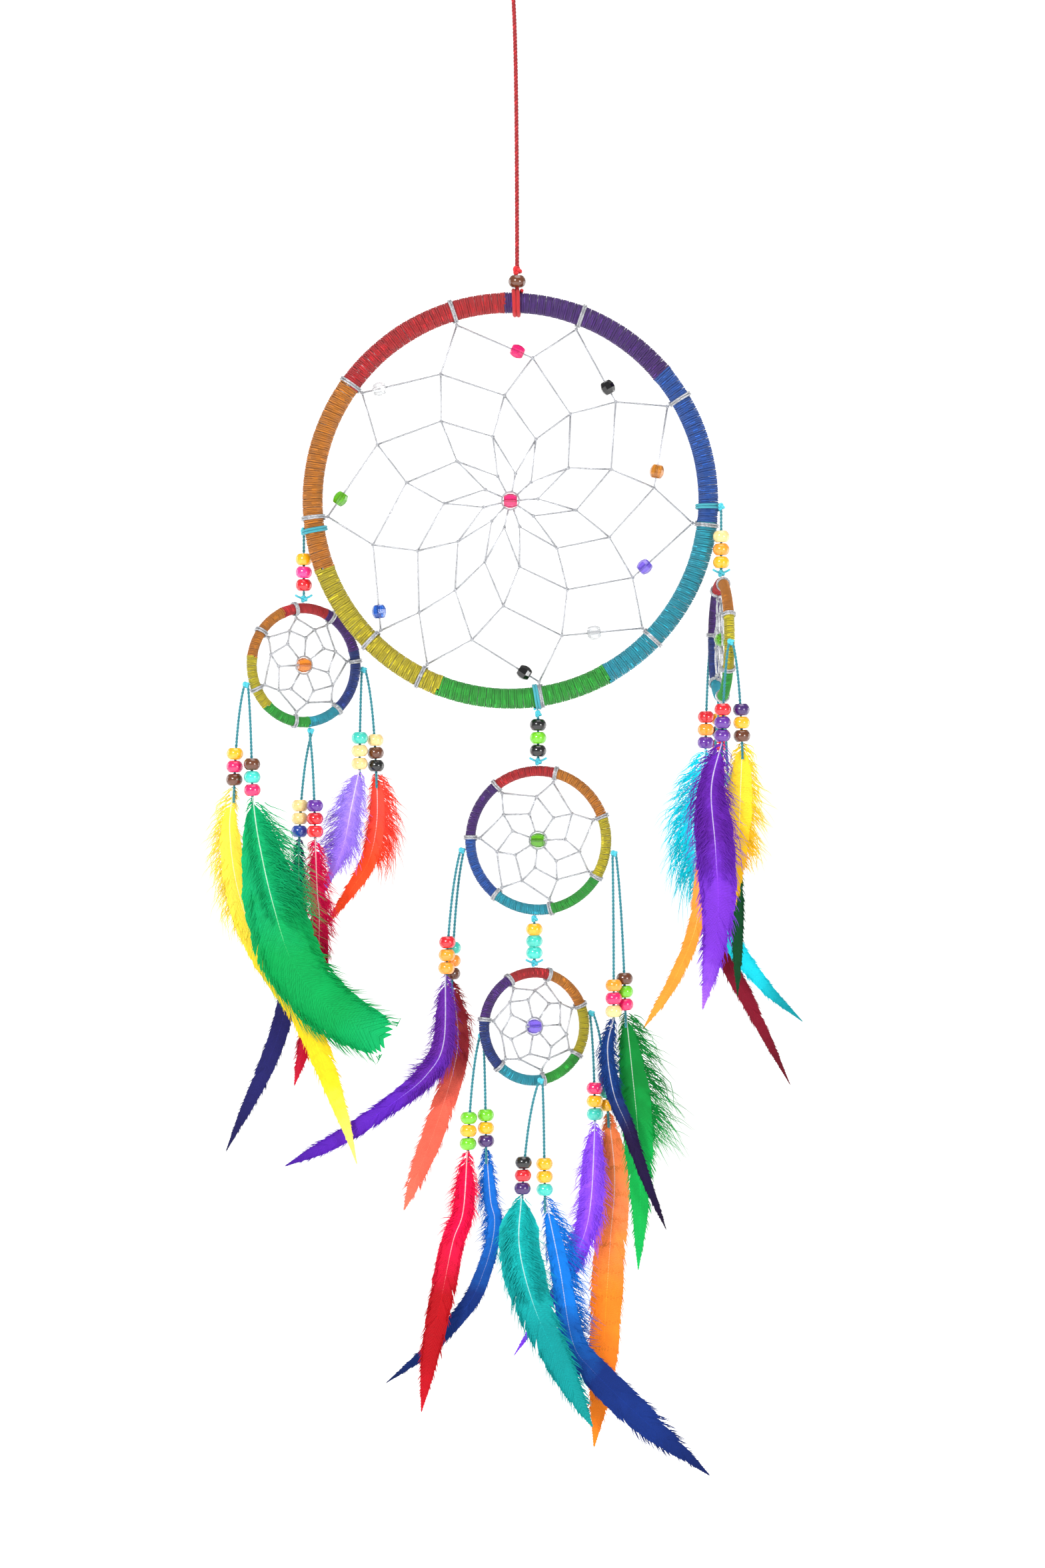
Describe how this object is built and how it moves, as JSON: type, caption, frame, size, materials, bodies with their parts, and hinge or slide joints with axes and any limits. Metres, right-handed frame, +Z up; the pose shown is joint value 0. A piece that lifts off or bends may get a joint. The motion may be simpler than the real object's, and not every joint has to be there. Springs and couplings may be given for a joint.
{
  "type": "dream catcher",
  "caption": "Hanging dream catcher: a large thread-wound ring with a swirling web, small webbed hoops below and beside it, and drops of wooden beads and dyed feathers.",
  "frame": {"origin": "inside of the top of the hanging loop, where a hook bears", "axes": "+Z up along the hanging cord, +X to the right seen from the front, the front faces -Y"},
  "size_m": [0.2815, 0.0762, 0.7548],
  "materials": {
    "cord_red": "matte",
    "cord_blue": "satin",
    "bead_wood": "gloss",
    "core_metal": "satin",
    "winding_thread": "satin",
    "web_thread": "satin",
    "bead_acrylic": "gloss",
    "feather_down": "matte"
  },
  "bodies": {
    "hanger": {"hanging_cord": "cord_red"},
    "main_ring": {"hanging_bead": "bead_wood", "rim_ties": "cord_blue", "ring_core": "core_metal", "ring_winding": "winding_thread", "ring_web": "web_thread", "ring_web_beads": "bead_acrylic"},
    "left_link": {"left_link_cord": "cord_blue", "left_link_beads": "bead_wood"},
    "left_hoop": {"left_hoop_core": "core_metal", "left_hoop_winding": "winding_thread", "left_hoop_web": "web_thread"},
    "upper_link": {"upper_link_cord": "cord_blue", "upper_link_beads": "bead_wood"},
    "upper_hoop": {"upper_hoop_core": "core_metal", "upper_hoop_winding": "winding_thread", "upper_hoop_web": "web_thread"},
    "lower_link": {"lower_link_cord": "cord_blue", "lower_link_beads": "bead_wood"},
    "lower_hoop": {"lower_hoop_core": "core_metal", "lower_hoop_winding": "winding_thread", "lower_hoop_web": "web_thread"},
    "right_link": {"right_link_cord": "cord_blue", "right_link_beads": "bead_wood"},
    "right_hoop": {"right_hoop_core": "core_metal", "right_hoop_winding": "winding_thread", "right_hoop_web": "web_thread"},
    "left_hoop_left_drop": {"left_hoop_left_drop_cords": "cord_blue", "left_hoop_left_drop_beads": "bead_wood", "left_hoop_left_drop_feathers": "feather_down"},
    "left_hoop_bottom_drop": {"left_hoop_bottom_drop_cords": "cord_blue", "left_hoop_bottom_drop_beads": "bead_wood", "left_hoop_bottom_drop_feathers": "feather_down"},
    "left_hoop_right_drop": {"left_hoop_right_drop_cords": "cord_blue", "left_hoop_right_drop_beads": "bead_wood", "left_hoop_right_drop_feathers": "feather_down"},
    "upper_hoop_left_drop": {"upper_hoop_left_drop_cords": "cord_blue", "upper_hoop_left_drop_beads": "bead_wood", "upper_hoop_left_drop_feathers": "feather_down"},
    "upper_hoop_right_drop": {"upper_hoop_right_drop_cords": "cord_blue", "upper_hoop_right_drop_beads": "bead_wood", "upper_hoop_right_drop_feathers": "feather_down"},
    "lower_hoop_left_drop": {"lower_hoop_left_drop_cords": "cord_blue", "lower_hoop_left_drop_beads": "bead_wood", "lower_hoop_left_drop_feathers": "feather_down"},
    "lower_hoop_bottom_drop": {"lower_hoop_bottom_drop_cords": "cord_blue", "lower_hoop_bottom_drop_beads": "bead_wood", "lower_hoop_bottom_drop_feathers": "feather_down"},
    "lower_hoop_right_drop": {"lower_hoop_right_drop_cords": "cord_blue", "lower_hoop_right_drop_beads": "bead_wood", "lower_hoop_right_drop_feathers": "feather_down"},
    "right_hoop_back_drop": {"right_hoop_back_drop_cords": "cord_blue", "right_hoop_back_drop_beads": "bead_wood", "right_hoop_back_drop_feathers": "feather_down"},
    "right_hoop_bottom_drop": {"right_hoop_bottom_drop_cords": "cord_blue", "right_hoop_bottom_drop_beads": "bead_wood", "right_hoop_bottom_drop_feathers": "feather_down"},
    "right_hoop_front_drop": {"right_hoop_front_drop_cords": "cord_blue", "right_hoop_front_drop_beads": "bead_wood", "right_hoop_front_drop_feathers": "feather_down"}
  },
  "joints": [
    {"name": "ring_turn", "type": "hinge", "parent": "hanger", "child": "main_ring", "pos_m": [0, 0, -0.1746], "axis": [0, 0, 1], "continuous": true},
    {"name": "left_link_swing", "type": "hinge", "parent": "main_ring", "child": "left_link", "pos_m": [-0.10264, 0.006, -0.29973], "axis": [1, 0, 0], "range_deg": [0, 20]},
    {"name": "left_hoop_turn", "type": "hinge", "parent": "left_link", "child": "left_hoop", "pos_m": [-0.10264, 0.006, -0.33203], "axis": [0, 0, 1], "range_deg": [-12, 8]},
    {"name": "upper_link_swing", "type": "hinge", "parent": "main_ring", "child": "upper_link", "pos_m": [0.01009, 0, -0.38734], "axis": [1, 0, 0], "range_deg": [-20, 20]},
    {"name": "upper_hoop_turn", "type": "hinge", "parent": "upper_link", "child": "upper_hoop", "pos_m": [0.01009, 0, -0.41034], "axis": [0, 0, 1], "range_deg": [-20, 14]},
    {"name": "lower_link_swing", "type": "hinge", "parent": "upper_hoop", "child": "lower_link", "pos_m": [0.00828, 0.00038, -0.4857], "axis": [1, 0, 0], "range_deg": [-5, 20]},
    {"name": "lower_hoop_turn", "type": "hinge", "parent": "lower_link", "child": "lower_hoop", "pos_m": [0.00828, 0.00038, -0.5071], "axis": [0, 0, 1], "range_deg": [-5, 30]},
    {"name": "right_link_swing", "type": "hinge", "parent": "main_ring", "child": "right_link", "pos_m": [0.09776, -0.0055, -0.28822], "axis": [1, 0, 0], "range_deg": [-20, 1]},
    {"name": "right_hoop_turn", "type": "hinge", "parent": "right_link", "child": "right_hoop", "pos_m": [0.09776, -0.0055, -0.32022], "axis": [0, 0, 1], "range_deg": [-25, 25]},
    {"name": "left_hoop_left_drop_swing", "type": "hinge", "parent": "left_hoop", "child": "left_hoop_left_drop", "pos_m": [-0.12963, -0.00775, -0.3735], "axis": [1, 0, 0], "range_deg": [-30, 1]},
    {"name": "left_hoop_bottom_drop_swing", "type": "hinge", "parent": "left_hoop", "child": "left_hoop_bottom_drop", "pos_m": [-0.09933, 0.00768, -0.39542], "axis": [1, 0, 0], "range_deg": [-1, 1]},
    {"name": "left_hoop_right_drop_swing", "type": "hinge", "parent": "left_hoop", "child": "left_hoop_right_drop", "pos_m": [-0.07435, 0.02041, -0.36572], "axis": [1, 0, 0], "range_deg": [-1, 30]},
    {"name": "upper_hoop_left_drop_swing", "type": "hinge", "parent": "upper_hoop", "child": "upper_hoop_left_drop", "pos_m": [-0.02647, 0.00777, -0.45303], "axis": [1, 0, 0], "range_deg": [-2, 30]},
    {"name": "upper_hoop_right_drop_swing", "type": "hinge", "parent": "upper_hoop", "child": "upper_hoop_right_drop", "pos_m": [0.04647, -0.00773, -0.4542], "axis": [1, 0, 0], "range_deg": [-30, 1]},
    {"name": "lower_hoop_left_drop_swing", "type": "hinge", "parent": "lower_hoop", "child": "lower_hoop_left_drop", "pos_m": [-0.01704, -0.0051, -0.54172], "axis": [1, 0, 0], "range_deg": [-1, 20]},
    {"name": "lower_hoop_bottom_drop_swing", "type": "hinge", "parent": "lower_hoop", "child": "lower_hoop_bottom_drop", "pos_m": [0.01136, -0.00312, -0.56325], "axis": [1, 0, 0], "range_deg": [-2, 1]},
    {"name": "lower_hoop_right_drop_swing", "type": "hinge", "parent": "lower_hoop", "child": "lower_hoop_right_drop", "pos_m": [0.03586, 0.01152, -0.53161], "axis": [1, 0, 0], "range_deg": [-1, 25]},
    {"name": "right_hoop_back_drop_swing", "type": "hinge", "parent": "right_hoop", "child": "right_hoop_back_drop", "pos_m": [0.09444, 0.02609, -0.35352], "axis": [1, 0, 0], "range_deg": [-2, 30]},
    {"name": "right_hoop_bottom_drop_swing", "type": "hinge", "parent": "right_hoop", "child": "right_hoop_bottom_drop", "pos_m": [0.09776, -0.0055, -0.38382], "axis": [1, 0, 0], "range_deg": [-6, 6]},
    {"name": "right_hoop_front_drop_swing", "type": "hinge", "parent": "right_hoop", "child": "right_hoop_front_drop", "pos_m": [0.10108, -0.03708, -0.3538], "axis": [1, 0, 0], "range_deg": [-30, 2]}
  ]
}
